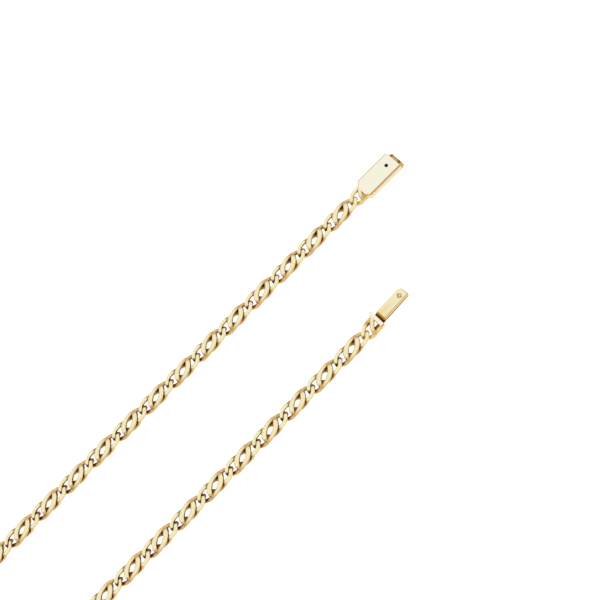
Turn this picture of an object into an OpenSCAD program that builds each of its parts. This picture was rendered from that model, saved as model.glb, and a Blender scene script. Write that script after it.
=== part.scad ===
// A gold neck chain of soldered wire knots, lying open and flat, with its box clasp and spring tongue.
// Millimetres, +Z up. The chain lies on Z = 0, its two straight runs along X with the clasp ends at +X.

/* [Chain] */
// Distance from the middle of one knot to the middle of the next
knot_pitch = 10; // [9.8:0.05:10]
// Width of the wire
wire_w = 1.05; // [0.9:0.05:1.05]
// Thickness of the wire
wire_t = 0.94; // [0.8:0.02:0.94]
// Side of the solder spot that joins the two loops of a knot
solder_w = 0.4; // [0.3:0.05:0.6]

/* [Clasp box] */
// Length of the box, from the soldered end to the mouth
box_l = 13.7; // [13:0.1:15]
// Width of the box
box_w = 5.9; // [5.4:0.1:6.2]
// Height of the box
box_h = 2.6; // [2.4:0.1:3]
// Thickness of the box walls
box_wall = 0.4; // [0.3:0.05:0.5]
// Length by which the lid and the side walls stop short of the floor at the mouth
lid_back = 1.4; // [1.2:0.1:2]
// Diameter of the pin hole in the lid
pin_hole_d = 1; // [0.6:0.1:1.2]
// Distance from the lid's front edge to the middle of the pin hole
pin_hole_in = 2.6; // [2:0.1:4]

/* [Clasp tongue] */
// Length of the spring tongue in front of the end bar
tongue_l = 10.3; // [8.5:0.1:10.5]
// Width of the spring tongue
tongue_w = 3.3; // [2.2:0.1:3.6]
// Thickness of the spring leaves
leaf_t = 0.35; // [0.25:0.05:0.4]
// Width of the end bar
bar_w = 5.2; // [4.8:0.1:5.6]
// Thickness of the end bar
bar_t = 1.1; // [0.8:0.1:1.3]

/* [Hidden] */
gold = [0.87, 0.73, 0.42];
gold_dark = [0.8, 0.65, 0.35];

// Columns of a wire table: along the chain, across it, height above the middle of the chain.
// One loop of a knot, from its narrow end over the upper layer to the wide end and back.
LOOP = [
    [-5.80, -0.28, -0.18],
    [-5.41, 0.46, 1.01],
    [-4.52, 1.48, 0.68],
    [-2.62, 1.51, 0.65],
    [-1.39, 1.42, -0.65],
    [2.15, 1.05, -0.65],
    [2.75, 0.36, 0.49],
    [1.76, -0.63, 0.65],
    [0.13, -1.37, 0.65],
    [-2.30, -1.65, 0.65],
    [-3.90, -1.42, -0.45],
    [-5.14, -0.82, -0.68]
];
// Where the two loops of a knot are soldered: the upper wire lies over the lower one here
solder_at = [1.2, 1.3];
layer_h = 0.65;

// The narrow end of a loop whose two arms run into the closed end of the box
BOX_LOOP = [
    [-0.9, -1.6, -0.45],
    [-2.0, -1.6, -0.45],
    [-3.90, -1.42, -0.45],
    [-5.14, -0.82, -0.68],
    [-5.80, -0.28, -0.18],
    [-5.41, 0.46, 1.01],
    [-4.52, 1.48, 0.68],
    [-2.0, 1.6, 0.62],
    [-0.9, 1.6, 0.62]
];
// The strut that rises from the lower arm to the closed end of the box
BOX_STRUT = [
    [-2.85, -1.3, 0],
    [-2.7, -0.7, 0.5],
    [-2.2, 0.2, 0.8],
    [-1.2, 0.8, 0.95]
];
// The same loop end at the end bar, where the upper arm dips under the strut
BAR_LOOP = [
    [-0.3, -1.65, -0.53],
    [-3.90, -1.42, -0.53],
    [-5.14, -0.82, -0.68],
    [-5.80, -0.28, -0.18],
    [-5.41, 0.46, 1.01],
    [-4.52, 1.48, 0.68],
    [-3.3, 1.75, 0.4],
    [-2.2, 2.0, -0.5],
    [-0.3, 2.1, -0.5]
];
// The strut that rises from the lower arm to the top of the end bar
STRUT = [
    [-3.0, -1.3, 0],
    [-2.75, -0.5, 0.56],
    [-1.76, 0.63, 0.65],
    [-0.9, 1.5, 0.65],
    [-0.3, 2.1, 0.65]
];

// How the chain lies. Columns: number of joints, turn at each in degrees, left turns positive.
BENDS = [
    [13, 0],
    [3, -8.44],
    [14, 17.946],
    [4, -11.48],
    [10, 0]
];
knots = 44;
knots_box_half = 22;
// The first joint, at the box, so that the middle of the whole chain's box is at the origin
start = [97.34, 22.11];

turn_dip = 0.022;
chain_z = layer_h + turn_dip + wire_t / 2;
box_x = 3.2;
box_aside = 0.14;
// Cuts of the closed end: at the -Y corner and at the +Y corner
corner_cuts = [0.9, 1.5];
// Cuts of the sill: their length, and their widths at the same corners
sill_cut_l = 1.3;
sill_cuts = [0.5, 1];
sill_h = 0.7;
lid_step = 0.3;
lid_t = 0.45;
loop_reach = knot_pitch / 2;

function unit(v) = v / norm(v);
function bend(k, row = 0) = k < BENDS[row][0] ? BENDS[row][1] : bend(k - BENDS[row][0], row + 1);
headings = [for (k = 0, h = 180; k < knots; k = k + 1, h = h + bend(k - 1)) h];
function step(h) = knot_pitch * [cos(h), sin(h)];
joints = [for (k = 0, p = start; k <= knots; p = k < knots ? p + step(headings[k]) : p, k = k + 1) p];
end = joints[knots];

// Corners of the wire, cut flat above. Columns: across, up.
face_share = 0.38;
WIRE = [
    [-wire_w / 2, 0],
    [0, -wire_t / 2],
    [wire_w / 2, 0],
    [face_share * wire_w, wire_t / 2],
    [-face_share * wire_w, wire_t / 2]
];

function at(table, i) = table[(i + len(table)) % len(table)];
function run(table, i, closed) =
    let (
        last = len(table) - 1,
        here = table[i],
        before = closed || i > 0 ? unit(here - at(table, i - 1)) : [0, 0, 0],
        after = closed || i < last ? unit(at(table, i + 1) - here) : [0, 0, 0]
    )
    unit(before + after);

// A wire bent along a table of points, closed to a loop or with two flat ends
module wire(table, closed = true) {
    n = len(table);
    m = len(WIRE);
    points = [
        for (i = [0:n - 1])
            let (along = run(table, i, closed), side = unit(cross([0, 0, 1], along)), up = cross(along, side))
            for (c = WIRE) table[i] + c[0] * side + c[1] * up
    ];
    spans = closed ? n : n - 1;
    walls = [
        for (i = [0:spans - 1], j = [0:m - 1], half = [0, 1])
            let (
                a = i * m + j,
                b = i * m + (j + 1) % m,
                c = ((i + 1) % n) * m + (j + 1) % m,
                d = ((i + 1) % n) * m + j
            )
            half == 0 ? [a, c, b] : [a, d, c]
    ];
    caps = closed ? [] : [[for (j = [0:m - 1]) j], [for (j = [m - 1:-1:0]) (n - 1) * m + j]];
    polyhedron(points = points, faces = concat(walls, caps));
}

module solder_spot() {
    hull() {
        for (z = [-layer_h, layer_h])
            translate([solder_at[0], solder_at[1], z])
                cube([solder_w, solder_w, wire_t / 4], center = true);
    }
}

// Two equal loops, the second turned half round, lying crosswise over each other and soldered
module knot() {
    for (half = [0, 180])
        rotate([0, 0, half]) {
            wire(LOOP);
            solder_spot();
        }
}

module knots_from(first, last) {
    union() {
        for (k = [first:last])
            translate(concat((joints[k] + joints[k + 1]) / 2, chain_z))
                rotate([0, 0, headings[k]])
                    knot();
    }
}

module chain_box_half() color(gold) knots_from(0, knots_box_half - 1);

module chain_tongue_half() color(gold) knots_from(knots_box_half, knots - 1);

// All four corners are cut in plan
module box_plan(w) {
    polygon([
        [0, -w / 2 + corner_cuts[0]],
        [corner_cuts[0], -w / 2],
        [box_l - sill_cut_l, -w / 2],
        [box_l, -w / 2 + sill_cuts[0]],
        [box_l, w / 2 - sill_cuts[1]],
        [box_l - sill_cut_l, w / 2],
        [corner_cuts[1], w / 2],
        [0, w / 2 - corner_cuts[1]]
    ]);
}

module clasp_box() {
    inside_l = box_l - corner_cuts[1] - box_wall;
    color(gold_dark)
        translate([start[0] + box_x, start[1] + box_aside, 0])
            union() {
                difference() {
                    union() {
                        linear_extrude(box_h - lid_t) box_plan(box_w);
                        linear_extrude(box_h) box_plan(box_w - 2 * lid_step);
                    }
                    translate([box_l - inside_l, -box_w / 2 + box_wall, box_wall])
                        cube([2 * inside_l, box_w - 2 * box_wall, box_h - box_wall - lid_t]);
                    translate([box_l - lid_back, -box_w, sill_h])
                        cube([2 * lid_back, 2 * box_w, box_h]);
                    translate([box_l - lid_back - pin_hole_in, 0, box_h - 2 * lid_t])
                        cylinder(h = 3 * lid_t, d = pin_hole_d, $fn = 48);
                }
                translate([loop_reach - box_x, -box_aside, chain_z]) {
                    wire(BOX_LOOP, closed = false);
                    wire(BOX_STRUT, closed = false);
                }
            }
}

// Side view of the spring: a lower leaf, a fold at the tip and an upper leaf that rises to its free end,
// where a lip is bent down
module spring() {
    fold_r = 0.55;
    free_gap = 0.8;
    free_rise = 0.25;
    free_top = fold_r + free_rise;
    lip_h = 0.6;
    lip_run = 0.4;
    rotate([90, 0, 0])
        linear_extrude(tongue_w, center = true)
            polygon(concat(
                [[0, -fold_r], [tongue_l - fold_r, -fold_r]],
                [for (a = [-75:15:75]) [tongue_l - fold_r + fold_r * cos(a), fold_r * sin(a)]],
                [[tongue_l - fold_r, fold_r], [free_gap + lip_run, free_top], [free_gap, free_top - lip_h]],
                [[free_gap + leaf_t, free_top - lip_h], [free_gap + lip_run + leaf_t, free_top - leaf_t]],
                [[tongue_l - fold_r, fold_r - leaf_t]],
                [for (a = [75:-15:-75])
                    [tongue_l - fold_r + (fold_r - leaf_t) * cos(a), (fold_r - leaf_t) * sin(a)]],
                [[tongue_l - fold_r, leaf_t - fold_r], [0, leaf_t - fold_r]]
            ));
}

module clasp_tongue() {
    bar_x = 4.3;
    aside = 0.64;
    spring_aside = 0.4;
    spring_z = 1.45;
    bar_cut = 0.3;
    sunk = 0.15;
    tongue_turn = 2.8;
    // The web of solder in the corner between the lower arm and the bar: its size and its start
    web = [1.7, 1.2, 0.45];
    web_at = [-2.2, -1.3, 0.15];
    color(gold_dark)
        translate([end[0], end[1], 0])
            union() {
                translate([bar_x, aside, 0])
                    rotate([90, 0, 90])
                        linear_extrude(bar_t)
                            polygon([
                                [-bar_w / 2, 0],
                                [bar_w / 2, 0],
                                [bar_w / 2, box_h - bar_cut],
                                [bar_w / 2 - bar_cut, box_h],
                                [-bar_w / 2 + bar_cut, box_h],
                                [-bar_w / 2, box_h - bar_cut]
                            ]);
                translate([bar_x + bar_t - sunk, spring_aside, spring_z]) rotate([0, 0, tongue_turn]) spring();
                translate([loop_reach, 0, chain_z]) wire(BAR_LOOP, closed = false);
                translate([loop_reach, 0, chain_z]) wire(STRUT, closed = false);
                translate([loop_reach, 0, 0] + web_at) cube(web);
            }
}

chain_box_half();
chain_tongue_half();
clasp_box();
clasp_tongue();
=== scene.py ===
"""A gold neck chain of soldered wire knots, lying open with its box clasp and spring tongue."""

import math

import bmesh
import bpy
import numpy as np
from mathutils import Matrix, Vector


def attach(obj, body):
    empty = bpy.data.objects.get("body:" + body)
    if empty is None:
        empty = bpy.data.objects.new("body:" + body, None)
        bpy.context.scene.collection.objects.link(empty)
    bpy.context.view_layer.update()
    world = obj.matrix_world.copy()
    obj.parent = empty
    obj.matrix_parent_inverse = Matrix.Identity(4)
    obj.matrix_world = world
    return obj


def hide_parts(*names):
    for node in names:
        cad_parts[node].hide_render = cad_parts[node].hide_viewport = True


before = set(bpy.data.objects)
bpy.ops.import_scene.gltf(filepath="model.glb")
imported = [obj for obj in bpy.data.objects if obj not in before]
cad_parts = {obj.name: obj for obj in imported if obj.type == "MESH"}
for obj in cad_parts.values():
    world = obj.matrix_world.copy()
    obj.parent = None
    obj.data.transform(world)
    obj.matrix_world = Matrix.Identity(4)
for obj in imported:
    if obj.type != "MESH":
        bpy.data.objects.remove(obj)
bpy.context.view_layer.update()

MM = 0.001

# How the chain lies, in millimetres and degrees: from the joint at the box to the joint at the tongue
PITCH = 10.0
KNOTS = 44
KNOTS_BOX_HALF = 22
START = np.array([97.34, 22.11])
START_HEADING = 180.0
# Columns: number of joints, turn at each
BENDS = [(13, 0.0), (3, -8.44), (14, 17.946), (4, -11.48), (10, 0.0)]
# Height of the middle of the chain
CHAIN_Z = 1.142
# From the middle of a knot to its joints
REACH = PITCH / 2

# Columns of a wire table: along the chain, across it, height above the middle of the chain, width
LOOP = [
    (-5.82, -0.30, -0.15, 1.04),
    (-5.37, 0.41, 0.88, 1.04),
    (-4.50, 1.18, 0.68, 1.06),
    (-3.36, 1.48, 0.68, 1.12),
    (-2.40, 1.52, 0.58, 1.16),
    (-1.35, 1.60, -0.36, 1.12),
    (0.70, 1.38, -0.65, 1.12),
    (1.95, 0.58, -0.62, 1.34),
    (2.56, 0.84, -0.20, 1.24),
    (2.58, 0.84, 0.48, 1.30),
    (2.30, 0.25, 0.65, 1.48),
    (1.74, -0.42, 0.65, 1.50),
    (0.95, -0.96, 0.65, 1.36),
    (-0.13, -1.42, 0.62, 1.20),
    (-1.30, -1.67, 0.42, 1.17),
    (-2.20, -1.71, 0.12, 1.16),
    (-3.00, -1.64, -0.32, 1.18),
    (-3.90, -1.50, -0.58, 1.16),
    (-5.14, -0.84, -0.68, 1.04),
]
# In the bends the wire is thinner at the narrow ends, which are those below this place along the chain
BEND_END_X = -3.6
BEND_END_SHARE = 0.72
# The narrow end of a loop: its last two rows and its first five
NARROW_END = LOOP[-2:] + LOOP[:5]
# The half knots soldered to the box and to the bar, each with a strut over it
BOX_ARMS = [(-0.9, -1.6, -0.45, 1.1), (-2.4, -1.58, -0.45, 1.1)] + NARROW_END + [(-0.9, 1.55, 0.58, 1.1)]
BOX_STRUT = [
    (-2.75, -1.45, -0.38, 1.2),
    (-2.72, -1.0, 0.12, 1.2),
    (-2.62, -0.4, 0.62, 1.2),
    (-2.1, 0.42, 0.90, 1.2),
    (-1.0, 1.1, 0.97, 1.2),
]
BAR_ARMS = [(-0.3, -1.3, -0.53, 1.2), (-2.0, -1.4, -0.5, 1.2)] + NARROW_END[:-2]
BAR_ARMS += [
    (-3.45, 1.66, 0.45, 1.2),
    (-2.9, 1.85, 0.0, 1.35),
    (-2.2, 2.0, -0.45, 1.5),
    (-0.3, 2.1, -0.5, 1.5),
]
BAR_STRUT = [
    (-2.95, -1.45, -0.38, 1.2),
    (-2.88, -1.0, 0.12, 1.2),
    (-2.72, -0.4, 0.58, 1.2),
    (-1.90, 0.55, 0.65, 1.2),
    (-0.95, 1.5, 0.65, 1.2),
    (-0.2, 2.3, 0.65, 1.2),
]

# Half of the wire's section, from its flat face round to the underside: share of the width, height
HALF_SECTION = [
    (0.15, 0.47),
    (0.29, 0.465),
    (0.42, 0.37),
    (0.50, 0.12),
    (0.50, -0.18),
    (0.44, -0.42),
    (0.24, -0.54),
]
# The height, above the middle of the chain, over which nothing of a wire rises
FACE_TOP = 1.12
STRUT_TOP = 1.45
# Points of a wire's curve for each row of its table
SPAN_STEPS = 5

# The clasp's box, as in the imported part, and its place from the first joint
BOX_X = 3.2
BOX_ASIDE = 0.14
BOX_L = 13.7
BOX_W = 5.9
BOX_H = 2.6
BOX_WALL = 0.4
LID_BACK = 1.4
LID_T = 0.45
LID_STEP = 0.3
# Width and height of the slope round the lid
LID_SLOPE = (0.16, 0.12)
# Cuts of the closed end: at the -Y corner and at the +Y corner
CORNER_CUTS = (0.9, 1.5)
# Cuts of the sill: their length, and their widths at the same corners
SILL_CUT_L = 1.3
SILL_CUTS = (0.5, 1.0)
SILL_H = 0.7
# How far the floor of the mouth lies above the floor of the room
FLOOR_STEP = 0.02
PIN_HOLE_D = 1.0
PIN_HOLE_IN = 2.6
PIN_HOLE_SIDES = 48

# The clasp's bar and spring tongue, and their places from the last joint
BAR_X = 4.3
BAR_ASIDE = 0.64
BAR_W = 5.2
BAR_T = 1.1
BAR_CUT = 0.3
TONGUE_L = 10.3
TONGUE_W = 3.3
TONGUE_ASIDE = 0.4
TONGUE_TURN = 2.8
# How deep the spring's end is sunk in the bar, and the height of the middle of its fold
SUNK = 0.15
SPRING_Z = 1.45
LEAF_T = 0.35
FOLD_R = 0.55
# Steps round the outside and the inside of the fold, in degrees
FOLD_STEP = 10
FOLD_STEP_INSIDE = 15
# The upper leaf's free end: its gap to the bar, its rise, and the lip that is bent down there
FREE_GAP = 0.85
FREE_RISE = 0.25
LIP_H = 0.6
LIP_RUN = 0.5
# The slope along the tongue's -Y edge
EDGE_W = 0.36
EDGE_DROP = 0.18
# Cuts of the tip: at the -Y corner and at the +Y corner
TIP_CUTS = (0.35, 0.8)
# The four-sided dimple: from its middle to its corners, above and on its floor
PUNCH_R = 0.8
PUNCH_FLOOR_R = 0.45
PUNCH_IN = 2.0
PUNCH_DEEP = 0.06
# A small block in the corner between the lower arm and the bar, coloured as painted brown shade for the
# shaded corner there; from the last joint: x, y, z
SHADED_WEB = ((2.8, 4.5), (-1.3, -0.1), (0.15, 0.6))

# How far cutting tools reach past the solids
TOOL_REACH = 1.0

# Soft edges: their widths, and the least angle of an edge that is softened
BOX_SOFT = 0.05
SPRING_SOFT = 0.04
BAR_SOFT = 0.06
SOFT_SEGMENTS = 2
SOFT_FROM_DEG = 30.0
SPRING_SOFT_FROM_DEG = 50.0
# The least angles at which shading breaks
WIRE_SHARP_DEG = 38.0
FLAT_SHARP_DEG = 9.0
SPRING_SHARP_DEG = 11.0

# Slack, in millimetres, with which the faces of the softened box are told by their places
EDGE_SLACK = 0.02
WALL_SLACK = 0.03
ROOM_SLACK = 0.05
RIM_SLACK = 0.06
SILL_SLACK = 0.1
# Parts of a face's normal: turned a way, hardly turned that way, leaning a little up
TURNED = 0.5
HARDLY = 0.3
LEANING = 0.1
# The same for the spring's upper leaf: its -Y side, its lip and the dimple's floor
LEAF_SIDE = 0.2
LEAF_LIP = 0.4
PUNCH_FLAT = 0.995
# Limits of the normal along Y of the bar's cut at its -Y end
BAR_CUT_FACE = (-0.9, -0.3)

# Gold, painted light by facing: the part of the normal along Z where a face is all side tone, the painted
# shade, and where it is all face tone, the painted pale highlight
SIDE_NORMAL = 0.72
FACE_NORMAL = 0.97
# How the share of the face tone, the painted pale highlight, drifts
DRIFT = 0.12
DRIFT_SCALE = 260.0
DRIFT_DETAIL = 3.0
# Painted shade in recesses and between parts: its tone, how near a wall counts, and the shares of open sky
# where the painted shade is full and gone
RECESS_SHADE = (0.29, 0.115, 0.028)
RECESS_SHADE_REACH = 1.3
RECESS_SHADE_SHARES = (0.45, 0.97)
RECESS_SHADE_SAMPLES = 16
# Fine relief, in millimetres deep
GRAIN_SCALE = 2000.0
GRAIN_DEEP = 0.2
GRAIN_STRENGTH = 0.02
FINE_DETAIL = 2.0
# Brushed lines
LINES_STRETCH = (0.04, 1.0, 1.0)
LINES_SCALE = 1900.0
LINES_RANGE = (0.48, 0.66)
# The warm tone, and the largest share of it and of a spot's tone of painted shade or highlight
WARM = (0.90, 0.70, 0.33)
WARM_SHARE = 0.6
SPOT_SHARE = 0.9
# Heights between which the wires' upper faces turn to the painted pale highlight
WIRE_HIGHLIGHT_Z = (1.75, 2.2)
# Places along X between which the tongue turns from warm to plain
LEAF_WARM = (79.5, 84.0)

# How far the floor's own glow lifts it, for the light on the chain and as seen
FLOOR_GLOW = 0.3
FLOOR_GLOW_SEEN = 0.85
FLOOR_WHITE = (0.92, 0.92, 0.92)
FLOOR_ROUGH = 0.9
# Half the floor's side, in metres
FLOOR_REACH = 4.0
# The sky's strength at the horizon, and the height at which it is full
SKY_LOW = 0.45
SKY_FULL_AT = 0.8
WHITE = (1.0, 1.0, 1.0)

# The camera that fits the photograph, in millimetres
CAMERA_AT = (56.35, -83.51, 267.80)
CAMERA_RIGHT = (0.70785, -0.67353, -0.21287)
CAMERA_UP = (0.70520, 0.65653, 0.26770)
LENS_MM = 63.64
SENSOR_MM = 36.0
# The nearest and the farthest that it sees, in metres
CLIP = (0.01, 20.0)


def headings_and_joints():
    """The heading of each knot, in degrees, and the places of the joints between them."""
    turns = [turn for count, turn in BENDS for _ in range(count)]
    headings = [START_HEADING]
    joints = [START]
    for k in range(KNOTS):
        a = math.radians(headings[k])
        joints.append(joints[k] + PITCH * np.array([math.cos(a), math.sin(a)]))
        headings.append(headings[k] + turns[k])
    return headings, joints


def turned(verts, degrees, at=(0, 0, 0)):
    """Vertices turned about Z and then moved to a place."""
    a = math.radians(degrees)
    turn = np.array([[math.cos(a), -math.sin(a), 0], [math.sin(a), math.cos(a), 0], [0, 0, 1]])
    return verts @ turn.T + np.array(at)


HEADINGS, JOINTS = headings_and_joints()
END = JOINTS[KNOTS]
BOX_AT = np.array([START[0] + BOX_X, START[1] + BOX_ASIDE, 0.0])
SPRING_AT = np.array([END[0] + BAR_X + BAR_T - SUNK, END[1] + TONGUE_ASIDE, 0.0])


def rgba(r, g, b):
    return (r, g, b, 1.0)


class Nodes:
    """A short way to lay out a material's nodes."""

    def __init__(self, name):
        self.material = bpy.data.materials.new(name)
        self.material.use_nodes = True
        self.tree = self.material.node_tree
        self.shader = self.tree.nodes["Principled BSDF"]

    def feed(self, socket, value):
        if isinstance(value, bpy.types.NodeSocket):
            self.tree.links.new(value, socket)
        else:
            socket.default_value = value

    def add(self, kind, inputs=(), **settings):
        node = self.tree.nodes.new(kind)
        for key, value in settings.items():
            setattr(node, key, value)
        for key, value in dict(inputs).items():
            self.feed(node.inputs[key], value)
        return node

    def set(self, **sockets):
        for key, value in sockets.items():
            self.feed(self.shader.inputs[key.replace("_", " ")], value)

    def place(self):
        return self.add("ShaderNodeTexCoord").outputs["Object"]

    def axis(self, vector, letter):
        return self.add("ShaderNodeSeparateXYZ", {"Vector": vector}).outputs[letter]

    def turned_back(self, place, degrees, scale=(1.0, 1.0, 1.0)):
        turn = (0.0, 0.0, -math.radians(degrees))
        node = self.add("ShaderNodeMapping", {"Vector": place, "Scale": scale, "Rotation": turn})
        return node.outputs["Vector"]

    def noise(self, place, scale, detail):
        node = self.add("ShaderNodeTexNoise", {"Vector": place, "Scale": scale, "Detail": detail})
        return node.outputs["Fac"]

    def ramp(self, value, low=0.0, high=1.0, to_low=0.0, to_high=1.0):
        limits = {"From Min": low, "From Max": high, "To Min": to_low, "To Max": to_high}
        return self.add("ShaderNodeMapRange", {"Value": value, **limits}).outputs["Result"]

    def calc(self, operation, *values):
        return self.add("ShaderNodeMath", dict(enumerate(values)), operation=operation).outputs["Value"]

    def mix(self, share, a, b):
        node = self.add("ShaderNodeMix", data_type="RGBA", clamp_factor=True)
        for name, value in (("Factor_Float", share), ("A_Color", a), ("B_Color", b)):
            self.feed(next(i for i in node.inputs if i.identifier == name), value)
        return next(o for o in node.outputs if o.identifier == "Result_Color")


def gold_material(
    name,
    face,
    side,
    roughness,
    shade_sky_shares=RECESS_SHADE_SHARES,
    pale_above=None,
    lines=0.0,
    warm=None,
    spots=(),
    turn=0.0,
):
    """Gold with painted light: a painted pale highlight on its flat faces, painted deeper shade on its
    sides and painted dark shade in its recesses.

    pale_above gives the heights between which the upper faces turn to the painted pale highlight, in
    millimetres. warm gives the places along X between which the tone turns from warm to plain. lines is
    the most of the side tone in brushed lines. spots are soft patches of painted shade or painted
    highlight: a place along Y, a reach to either side and the tone. Lines and spots lie along a piece that
    is turned about Z by turn."""
    n = Nodes(name)
    place = n.place()
    drift = n.ramp(n.noise(place, DRIFT_SCALE, DRIFT_DETAIL), to_low=-DRIFT, to_high=DRIFT)
    # Painted light by facing: faces turned up get the pale face tone as a painted highlight, steeper faces
    # get the deeper side tone as painted shade
    normal = n.add("ShaderNodeNewGeometry").outputs["Normal"]
    flat = n.ramp(n.axis(normal, "Z"), SIDE_NORMAL, FACE_NORMAL)
    pale = n.calc("ADD", flat, drift)
    if pale_above:
        low, high = (v * MM for v in pale_above)
        pale = n.calc("MULTIPLY", pale, n.ramp(n.axis(place, "Z"), low, high))
    tone = n.mix(pale, rgba(*side), rgba(*face))
    # Painted shade: the tone darkens where little open sky is seen, in recesses and between parts
    sky = n.add("ShaderNodeAmbientOcclusion", {"Distance": RECESS_SHADE_REACH * MM}, samples=RECESS_SHADE_SAMPLES)
    sky.only_local = True
    clear = n.ramp(sky.outputs["AO"], *shade_sky_shares)
    if lines:
        stretched = n.turned_back(place, turn, LINES_STRETCH)
        streak = n.ramp(n.noise(stretched, LINES_SCALE, FINE_DETAIL), *LINES_RANGE, to_high=lines)
        tone = n.mix(streak, tone, rgba(*side))
    if warm:
        low, high = (v * MM for v in warm)
        tone = n.mix(n.ramp(n.axis(place, "X"), low, high, WARM_SHARE, 0.0), tone, rgba(*WARM))
    # Soft patches of painted shade or painted highlight across the piece
    for middle, reach, spot in spots:
        across = n.axis(n.turned_back(place, turn), "Y")
        away = n.calc("ABSOLUTE", n.calc("SUBTRACT", across, middle * MM))
        tone = n.mix(n.ramp(away, 0.0, reach * MM, SPOT_SHARE, 0.0), tone, rgba(*spot))
    colour = n.mix(clear, rgba(*RECESS_SHADE), tone)
    grain = n.noise(place, GRAIN_SCALE, FINE_DETAIL)
    relief = n.add(
        "ShaderNodeBump",
        {"Height": grain, "Strength": GRAIN_STRENGTH, "Distance": GRAIN_DEEP * MM},
    )
    n.set(Base_Color=colour, Metallic=1.0, Roughness=roughness, Normal=relief.outputs["Normal"])
    return n.material


# Soft patches of painted light in the box's mouth: a place along Y, a reach to either side, a tone;
# painted shadow where the inside lies deep in shade, and a painted bright reflection
MOUTH_SHADOW = (0.08, 0.03, 0.01)
MOUTH_REFLECTION = (0.86, 0.54, 0.14)
MOUTH_PAINTED_LIGHT = (
    (BOX_AT[1] + 1.9, 0.6, MOUTH_SHADOW),
    (BOX_AT[1] - 0.95, 0.7, MOUTH_SHADOW),
    (BOX_AT[1] - 2.3, 0.8, MOUTH_REFLECTION),
)
# The painted shade line beside the slope along the leaf's edge
LEAF_SHADE_LINE_Y = turned(SPRING_AT, -TONGUE_TURN)[1] + EDGE_W - TONGUE_W / 2
LEAF_SHADE_SPOTS = ((LEAF_SHADE_LINE_Y, 0.28, (0.34, 0.21, 0.07)),)

gold_wire = gold_material(
    "gold_wire",
    face=(0.90, 0.83, 0.52),
    side=(0.81, 0.57, 0.27),
    roughness=0.28,
    pale_above=WIRE_HIGHLIGHT_Z,
)
gold_end = gold_material(
    "gold_end",
    face=(0.90, 0.83, 0.52),
    side=(0.90, 0.66, 0.29),
    roughness=0.28,
    shade_sky_shares=(0.30, 0.86),
    pale_above=WIRE_HIGHLIGHT_Z,
)
gold_plate = gold_material(
    "gold_plate",
    face=(0.92, 0.89, 0.73),
    side=(0.93, 0.76, 0.49),
    roughness=0.30,
)
# Painted shade along edges: the lid's slope, the +Y rim and the bar's cut
gold_edge_shade = gold_material(
    "gold_edge_shade",
    face=(0.74, 0.58, 0.34),
    side=(0.56, 0.40, 0.19),
    roughness=0.35,
    shade_sky_shares=(0.15, 0.75),
)
# Painted shade inside the box's mouth and on the pin hole's wall
gold_inner_shade = gold_material(
    "gold_inner_shade",
    face=(0.60, 0.38, 0.13),
    side=(0.50, 0.30, 0.08),
    roughness=0.40,
    shade_sky_shares=(0.4, 0.9),
    spots=MOUTH_PAINTED_LIGHT,
)
# Painted warm reflection on some end, rim, sill, dimple and leaf faces
gold_warm_reflection = gold_material(
    "gold_warm_reflection",
    face=(0.92, 0.68, 0.36),
    side=(0.86, 0.56, 0.22),
    roughness=0.35,
    shade_sky_shares=(-0.4, 0.3),
)
# Painted brown shade: the sill's cut corner, the dimple's walls and the block in the tongue's corner
gold_shade_brown = gold_material(
    "gold_shade_brown",
    face=(0.26, 0.12, 0.03),
    side=(0.22, 0.10, 0.03),
    roughness=0.5,
    shade_sky_shares=(0.0, 0.4),
)
# Painted near-black shade in hollows: the pin hole, the box's room and between the spring's leaves
hollow_shade_black = gold_material(
    "hollow_shade_black",
    face=(0.03, 0.012, 0.003),
    side=(0.03, 0.012, 0.003),
    roughness=0.50,
)
gold_leaf = gold_material(
    "gold_leaf",
    face=(0.90, 0.84, 0.57),
    side=(0.80, 0.48, 0.18),
    roughness=0.30,
    lines=0.4,
    warm=LEAF_WARM,
    spots=LEAF_SHADE_SPOTS,
    turn=TONGUE_TURN,
)


def blend(a, b, low, high, t):
    """The value at t on the line that is a at low and b at high."""
    return ((high - t) * a + (t - low) * b) / (high - low)


def spline(table, closed):
    """Rows along a smooth curve through the rows of a wire table."""
    rows = np.array(table, float)
    n = len(rows)
    out = []
    for i in range(n if closed else n - 1):
        if closed:
            quad = [rows[(i + k) % n] for k in (-1, 0, 1, 2)]
        else:
            before = rows[i - 1] if i > 0 else 2 * rows[0] - rows[1]
            after = rows[i + 2] if i + 2 < n else 2 * rows[n - 1] - rows[n - 2]
            quad = [before, rows[i], rows[i + 1], after]
        times = [0.0]
        for k in range(3):
            times.append(times[-1] + math.sqrt(np.linalg.norm((quad[k + 1] - quad[k])[:3])))
        for step in range(SPAN_STEPS):
            t = times[1] + (times[2] - times[1]) * step / SPAN_STEPS
            first = [blend(quad[k], quad[k + 1], times[k], times[k + 1], t) for k in range(3)]
            second = [blend(first[k], first[k + 1], times[k], times[k + 2], t) for k in range(2)]
            out.append(blend(second[0], second[1], times[1], times[2], t))
    if not closed:
        out.append(rows[-1])
    return np.array(out)


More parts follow.
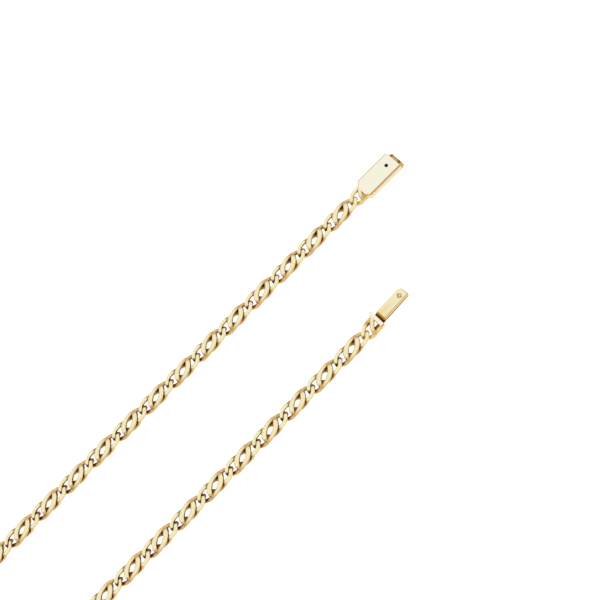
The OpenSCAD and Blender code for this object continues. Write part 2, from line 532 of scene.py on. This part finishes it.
def wire_mesh(table, closed=True, top=FACE_TOP):
    """Vertices and faces of a wire along a table, kept above the floor and below top."""
    curve = spline(table, closed)
    points = curve[:, :3]
    widths = curve[:, 3]
    n = len(points)
    section = [(-across, height) for across, height in reversed(HALF_SECTION)] + HALF_SECTION
    m = len(section)
    verts = []
    for i in range(n):
        if closed:
            along = points[(i + 1) % n] - points[i - 1]
        else:
            along = points[min(i + 1, n - 1)] - points[max(i - 1, 0)]
        along /= np.linalg.norm(along)
        side = np.cross([0, 0, 1], along)
        side /= np.linalg.norm(side)
        up = np.cross(along, side)
        for across, height in section:
            verts.append(points[i] + across * widths[i] * side + height * up)
    verts = np.array(verts)
    verts[:, 2] = np.clip(verts[:, 2], -CHAIN_Z, top)
    faces = []
    for i in range(n if closed else n - 1):
        here = i * m
        there = (i + 1) % n * m
        for j in range(m):
            after = (j + 1) % m
            faces.append((here + j, here + after, there + after, there + j))
    if not closed:
        faces.append(tuple(range(m - 1, -1, -1)))
        faces.append(tuple((n - 1) * m + j for j in range(m)))
    return verts, faces


def join(parts):
    """One vertex list and one face list from several."""
    verts = np.concatenate([v for v, _ in parts])
    faces = []
    base = 0
    for v, f in parts:
        faces += [tuple(i + base for i in face) for face in f]
        base += len(v)
    return verts, faces


def face_outward(mesh):
    b = bmesh.new()
    b.from_mesh(mesh)
    bmesh.ops.recalc_face_normals(b, faces=b.faces)
    b.to_mesh(mesh)
    b.free()


def in_scene(name, mesh):
    obj = bpy.data.objects.new(name, mesh)
    bpy.context.scene.collection.objects.link(obj)
    return obj


def wire_object(name, verts, faces, material, slot_name):
    mesh = bpy.data.meshes.new(name)
    mesh.from_pydata([tuple(v * MM) for v in verts], [], faces)
    mesh.validate()
    face_outward(mesh)
    mesh.materials.append(material)
    mesh.shade_smooth()
    mesh.set_sharp_from_angle(angle=math.radians(WIRE_SHARP_DEG))
    obj = in_scene(name, mesh)
    return obj


def knots_mesh(first, last):
    """The knots of a half of the chain: each is a loop and the same loop turned by half a turn."""
    straight = wire_mesh(LOOP)
    bent = wire_mesh([(x, y, z, w * BEND_END_SHARE if x < BEND_END_X else w) for x, y, z, w in LOOP])
    parts = []
    for k in range(first, last + 1):
        in_bend = HEADINGS[max(k - 1, 0)] != HEADINGS[k] or HEADINGS[k] != HEADINGS[k + 1]
        verts, faces = bent if in_bend else straight
        middle = (JOINTS[k] + JOINTS[k + 1]) / 2
        for half in (0, 180):
            placed = turned(verts, half)
            parts.append((turned(placed, HEADINGS[k], (middle[0], middle[1], CHAIN_Z)), faces))
    return join(parts)


def half_knot(name, joint, wires):
    """The half knot soldered to the clasp at a joint. Each wire is its table and its top."""
    parts = []
    for table, top in wires:
        verts, faces = wire_mesh(table, closed=False, top=top)
        parts.append((verts + np.array((joint[0] + REACH, joint[1], CHAIN_Z)), faces))
    return wire_object(name, *join(parts), gold_end, "gold_sheet")


def build_chain():
    halves = (
        ("chain_box_half", 0, KNOTS_BOX_HALF - 1),
        ("chain_tongue_half", KNOTS_BOX_HALF, KNOTS - 1),
    )
    for name, first, last in halves:
        obj = wire_object(name + "_wire", *knots_mesh(first, last), gold_wire, "gold_wire")
        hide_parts(name)
        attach(obj, "root")


def loft(sections):
    """A solid through outlines with equally many points, each given with its height."""
    n = len(sections[0][0])
    last = (len(sections) - 1) * n
    verts = [(x, y, height) for outline, height in sections for x, y in outline]
    faces = [tuple(range(n - 1, -1, -1)), tuple(range(last, last + n))]
    for base in range(0, last, n):
        for i in range(n):
            j = (i + 1) % n
            faces.append((base + i, base + j, base + n + j, base + n + i))
    return np.array(verts, float), faces


def prism(outline, low, high):
    """A solid with one outline between two heights."""
    return loft([(outline, low), (outline, high)])


def plain(name, verts, faces, at=(0, 0, 0)):
    """A bare solid at a place, in millimetres."""
    mesh = bpy.data.meshes.new(name)
    mesh.from_pydata([tuple((v + np.array(at)) * MM) for v in verts], [], faces)
    face_outward(mesh)
    return in_scene(name, mesh)


def block(name, x, y, z, at):
    """A box between pairs of limits."""
    outline = [(x[0], y[0]), (x[1], y[0]), (x[1], y[1]), (x[0], y[1])]
    return plain(name, *prism(outline, z[0], z[1]), at)


def apply_modifiers(obj):
    ready = bpy.context.evaluated_depsgraph_get()
    mesh = bpy.data.meshes.new_from_object(obj.evaluated_get(ready))
    obj.modifiers.clear()
    obj.data = mesh


def cut(obj, tool, operation="DIFFERENCE"):
    modifier = obj.modifiers.new("cut", "BOOLEAN")
    modifier.object = tool
    modifier.operation = operation
    modifier.solver = "EXACT"
    apply_modifiers(obj)
    bpy.data.objects.remove(tool)


def soften(obj, width, from_deg=SOFT_FROM_DEG):
    modifier = obj.modifiers.new("soft", "BEVEL")
    modifier.width = width * MM
    modifier.segments = SOFT_SEGMENTS
    modifier.limit_method = "ANGLE"
    modifier.angle_limit = math.radians(from_deg)
    apply_modifiers(obj)


def coat(obj, materials, pick, sharp_deg=FLAT_SHARP_DEG):
    """Each face gets the material that pick gives for its middle and its normal."""
    for material in materials:
        obj.data.materials.append(material)
    for poly in obj.data.polygons:
        poly.material_index = materials.index(pick([v / MM for v in poly.center], poly.normal))
    obj.data.shade_smooth()
    obj.data.set_sharp_from_angle(angle=math.radians(sharp_deg))


def box_plan(width):
    """The box's outline from above, from the middle of its closed end."""
    half = width / 2
    near, far = CORNER_CUTS
    return [
        (0, near - half),
        (near, -half),
        (BOX_L - SILL_CUT_L, -half),
        (BOX_L, SILL_CUTS[0] - half),
        (BOX_L, half - SILL_CUTS[1]),
        (BOX_L - SILL_CUT_L, half),
        (far, half),
        (0, half - far),
    ]


def build_box():
    past_end = 2 * BOX_L
    rim_z = BOX_H - LID_T
    lid_foot = rim_z - LID_T
    lid_x = BOX_L - LID_BACK
    pin_x = lid_x - PIN_HOLE_IN
    pin_r = PIN_HOLE_D / 2
    front_x = lid_x - BOX_WALL
    room_x = CORNER_CUTS[1] + BOX_WALL
    room_y = BOX_W / 2 - BOX_WALL
    lid_w = BOX_W - 2 * LID_STEP
    slope_w, slope_h = LID_SLOPE
    lid = [
        (box_plan(lid_w), lid_foot),
        (box_plan(lid_w), BOX_H - slope_h),
        (box_plan(lid_w - 2 * slope_w), BOX_H),
    ]
    sides = (-room_y, room_y)
    hole = [
        (pin_x + pin_r * math.cos(a), pin_r * math.sin(a))
        for a in np.linspace(0, 2 * math.pi, PIN_HOLE_SIDES, endpoint=False)
    ]
    box = plain("clasp_box_shell", *prism(box_plan(BOX_W), 0.0, rim_z), BOX_AT)
    cut(box, plain("lid", *loft(lid), BOX_AT), "UNION")
    cut(box, block("room", (room_x, lid_x), sides, (BOX_WALL, rim_z), BOX_AT))
    cut(box, block("front", (front_x, past_end), sides, (BOX_WALL + FLOOR_STEP, rim_z), BOX_AT))
    cut(box, block("mouth", (lid_x, past_end), (-BOX_W, BOX_W), (SILL_H, 2 * BOX_H), BOX_AT))
    cut(box, plain("pin", *prism(hole, lid_foot, BOX_H + TOOL_REACH), BOX_AT))
    soften(box, BOX_SOFT)

    # Each face gets its painted light by place and facing: near-black and dark shade in the pin hole, the
    # room and the mouth, brown shade on the sill's cut corner, warm reflections on the closed end, the
    # sill and the -Y rim, and shade on the lid's slope and the +Y rim
    def pick(centre, normal):
        x, y, z = centre - BOX_AT
        in_hole = z > rim_z - LID_T / 2 and math.hypot(x - pin_x, y) < pin_r + EDGE_SLACK
        if in_hole:
            return gold_inner_shade if normal[0] < -TURNED else hollow_shade_black
        upright = abs(normal[2]) < HARDLY
        if x > BOX_L - SILL_CUT_L and z > SILL_SLACK and upright and normal[1] < -HARDLY:
            return gold_shade_brown
        in_room = (
            room_x - ROOM_SLACK < x < BOX_L - SILL_SLACK
            and abs(y) < room_y + WALL_SLACK
            and BOX_WALL - ROOM_SLACK < z < rim_z
        )
        if in_room:
            return gold_inner_shade if x > front_x or z > SILL_H else hollow_shade_black
        at_closed_end = normal[0] < -TURNED and x < CORNER_CUTS[1] and z < BOX_H - EDGE_SLACK
        if at_closed_end and (normal[1] > -HARDLY or z > rim_z):
            return gold_warm_reflection
        if x > lid_x and y < -room_y and abs(z - SILL_H) < SILL_SLACK:
            return gold_warm_reflection
        if z > rim_z + WALL_SLACK:
            return gold_edge_shade if normal[2] < FACE_NORMAL else gold_plate
        on_rim = z > rim_z - RIM_SLACK
        if y < 0 and on_rim and normal[2] > TURNED:
            return gold_warm_reflection
        return gold_edge_shade if y > 0 and on_rim and normal[2] > LEANING else gold_plate

    coat(box, (gold_plate, gold_edge_shade, gold_inner_shade, hollow_shade_black, gold_warm_reflection, gold_shade_brown), pick)
    loop = half_knot("clasp_box_loop", START, ((BOX_ARMS, FACE_TOP), (BOX_STRUT, STRUT_TOP)))
    for obj in (box, loop):
        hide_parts("clasp_box")
        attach(obj, "root")


def arc(middle, r, degrees):
    """Points round a middle that lies on the first axis."""
    return [(middle + r * math.cos(a), r * math.sin(a)) for a in np.radians(degrees)]


def spring_outline(drop):
    """Side view of the folded spring, the top of its upper leaf lowered by drop."""
    tip = TONGUE_L - FOLD_R
    round_tip = arc(tip, FOLD_R, range(-90, 91, FOLD_STEP))
    outer = [(x, z - drop * max(0.0, z / FOLD_R)) for x, z in round_tip]
    inner = arc(tip, FOLD_R - LEAF_T, range(90, -91, -FOLD_STEP_INSIDE))
    free_top = FOLD_R + FREE_RISE
    lip = [
        (FREE_GAP + LIP_RUN, free_top - drop),
        (FREE_GAP, free_top - LIP_H),
        (FREE_GAP + LEAF_T, free_top - LIP_H),
        (FREE_GAP + LIP_RUN + LEAF_T, free_top - LEAF_T),
    ]
    return [(0, -FOLD_R)] + outer + lip + inner + [(0, LEAF_T - FOLD_R)]


def spring_solid(half):
    """The folded spring, lofted across its width."""
    verts, faces = loft(
        [
            (spring_outline(EDGE_DROP), -half),
            (spring_outline(0.0), EDGE_W - half),
            (spring_outline(0.0), half),
        ]
    )
    verts = turned(verts[:, [0, 2, 1]], TONGUE_TURN)
    return plain("clasp_tongue_spring", verts, faces, (SPRING_AT[0], SPRING_AT[1], SPRING_Z))


def tip_tool(half):
    """All that stays of the spring once the corners of its tip are cut."""
    near, far = TIP_CUTS
    plan = [
        (-TOOL_REACH, -BOX_W),
        (TONGUE_L - near, -BOX_W),
        (TONGUE_L - near, -half),
        (TONGUE_L, near - half),
        (TONGUE_L, half - far),
        (TONGUE_L - far, half),
        (TONGUE_L - far, BOX_W),
        (-TOOL_REACH, BOX_W),
    ]
    verts, faces = prism(plan, -TOOL_REACH, 2 * BOX_H)
    return plain("tip", turned(verts, TONGUE_TURN), faces, SPRING_AT)


def punch_tool(punch_at):
    sections = [
        ([(-r, 0), (0, -r), (r, 0), (0, r)], z)
        for r, z in ((PUNCH_FLOOR_R, -PUNCH_DEEP), (PUNCH_R, 0.0), (PUNCH_R, BOX_H))
    ]
    verts, faces = loft(sections)
    leaf_z = SPRING_Z + FOLD_R + FREE_RISE * PUNCH_IN / TONGUE_L
    return plain("punch", turned(verts, TONGUE_TURN), faces, (punch_at[0], punch_at[1], leaf_z))


def bar_solid():
    half = BAR_W / 2
    low = BOX_H - BAR_CUT
    outline = [
        (-half, 0),
        (half, 0),
        (half, low),
        (half - BAR_CUT, BOX_H),
        (BAR_CUT - half, BOX_H),
        (-half, low),
    ]
    verts, faces = prism(outline, 0, BAR_T)
    return plain("clasp_tongue_bar", verts[:, [2, 0, 1]], faces, (END[0] + BAR_X, END[1] + BAR_ASIDE, 0.0))


def build_tongue():
    half = TONGUE_W / 2
    punch_at = turned(np.array([TONGUE_L - PUNCH_IN, 0.0, 0.0]), TONGUE_TURN, SPRING_AT)
    spring = spring_solid(half)
    cut(spring, tip_tool(half), "INTERSECT")
    cut(spring, punch_tool(punch_at))
    soften(spring, SPRING_SOFT, SPRING_SOFT_FROM_DEG)
    bar = bar_solid()
    soften(bar, BAR_SOFT)

    # Painted light on the spring: near-black shade between the leaves, brown shade on the dimple's walls,
    # and warm reflection on the dimple's floor, the upper leaf's -Y side and its lip
    def pick_spring(centre, normal):
        z = centre[2] - SPRING_Z
        in_punch = math.hypot(centre[0] - punch_at[0], centre[1] - punch_at[1]) < PUNCH_R
        if in_punch and z > 0 and normal[2] > 0:
            return gold_shade_brown if normal[2] < PUNCH_FLAT else gold_warm_reflection
        if normal[2] > TURNED and z < 0 or normal[2] < -TURNED and z > 0:
            return hollow_shade_black
        if z > 0 and (normal[1] < -LEAF_SIDE or normal[0] < -LEAF_LIP):
            return gold_warm_reflection
        return gold_leaf

    # Painted shade on the bar's cut at its -Y end
    def pick_bar(centre, normal):
        low, high = BAR_CUT_FACE
        return gold_edge_shade if low < normal[1] < high else gold_plate

    spring_coats = (gold_leaf, hollow_shade_black, gold_warm_reflection, gold_shade_brown)
    coat(spring, spring_coats, pick_spring, SPRING_SHARP_DEG)
    coat(bar, (gold_plate, gold_edge_shade), pick_bar)
    loop = half_knot("clasp_tongue_loop", END, ((BAR_ARMS, FACE_TOP), (BAR_STRUT, FACE_TOP)))
    # A block in painted brown shade, standing for the shade in the corner by the bar
    web = block("clasp_tongue_shaded_web", *SHADED_WEB, (END[0], END[1], 0.0))
    coat(web, (gold_shade_brown,), lambda centre, normal: gold_shade_brown)
    for obj in (spring, bar, web, loop):
        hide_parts("clasp_tongue")
        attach(obj, "root")


def build_floor():
    mesh = bpy.data.meshes.new("floor")
    far = FLOOR_REACH
    corners = [(-far, -far, 0), (far, -far, 0), (far, far, 0), (-far, far, 0)]
    mesh.from_pydata(corners, [], [(0, 1, 2, 3)])
    floor = in_scene("floor", mesh)
    n = Nodes("floor_white")
    n.set(Base_Color=rgba(*FLOOR_WHITE), Roughness=FLOOR_ROUGH)
    seen = n.add("ShaderNodeLightPath").outputs["Is Camera Ray"]
    glow = n.ramp(seen, to_low=FLOOR_GLOW, to_high=FLOOR_GLOW_SEEN)
    n.set(Emission_Color=rgba(*WHITE), Emission_Strength=glow)
    mesh.materials.append(n.material)


def build_sky():
    """Soft even light from all round, stronger from above."""
    world = bpy.data.worlds.new("studio")
    bpy.context.scene.world = world
    world.use_nodes = True
    tree = world.node_tree
    where = tree.nodes.new("ShaderNodeTexCoord")
    split = tree.nodes.new("ShaderNodeSeparateXYZ")
    shade = tree.nodes.new("ShaderNodeMapRange")
    shade.inputs["From Max"].default_value = SKY_FULL_AT
    shade.inputs["To Min"].default_value = SKY_LOW
    tree.links.new(where.outputs["Generated"], split.inputs["Vector"])
    tree.links.new(split.outputs["Z"], shade.inputs["Value"])
    tree.links.new(shade.outputs["Result"], tree.nodes["Background"].inputs["Strength"])
    tree.nodes["Background"].inputs["Color"].default_value = rgba(*WHITE)


def build_camera():
    scene = bpy.context.scene
    data = bpy.data.cameras.new("camera")
    data.lens = LENS_MM
    data.sensor_width = SENSOR_MM
    data.clip_start, data.clip_end = CLIP
    camera = bpy.data.objects.new("camera", data)
    right = Vector(CAMERA_RIGHT).normalized()
    back = right.cross(Vector(CAMERA_UP).normalized())
    up = back.cross(right)
    place = Matrix((right, up, back)).transposed().to_4x4()
    place.translation = Vector(CAMERA_AT) * MM
    camera.matrix_world = place
    scene.collection.objects.link(camera)
    scene.camera = camera
    scene.view_settings.view_transform = "Standard"
    scene.view_settings.look = "None"


build_chain()
build_box()
build_tongue()
build_floor()
build_sky()
build_camera()
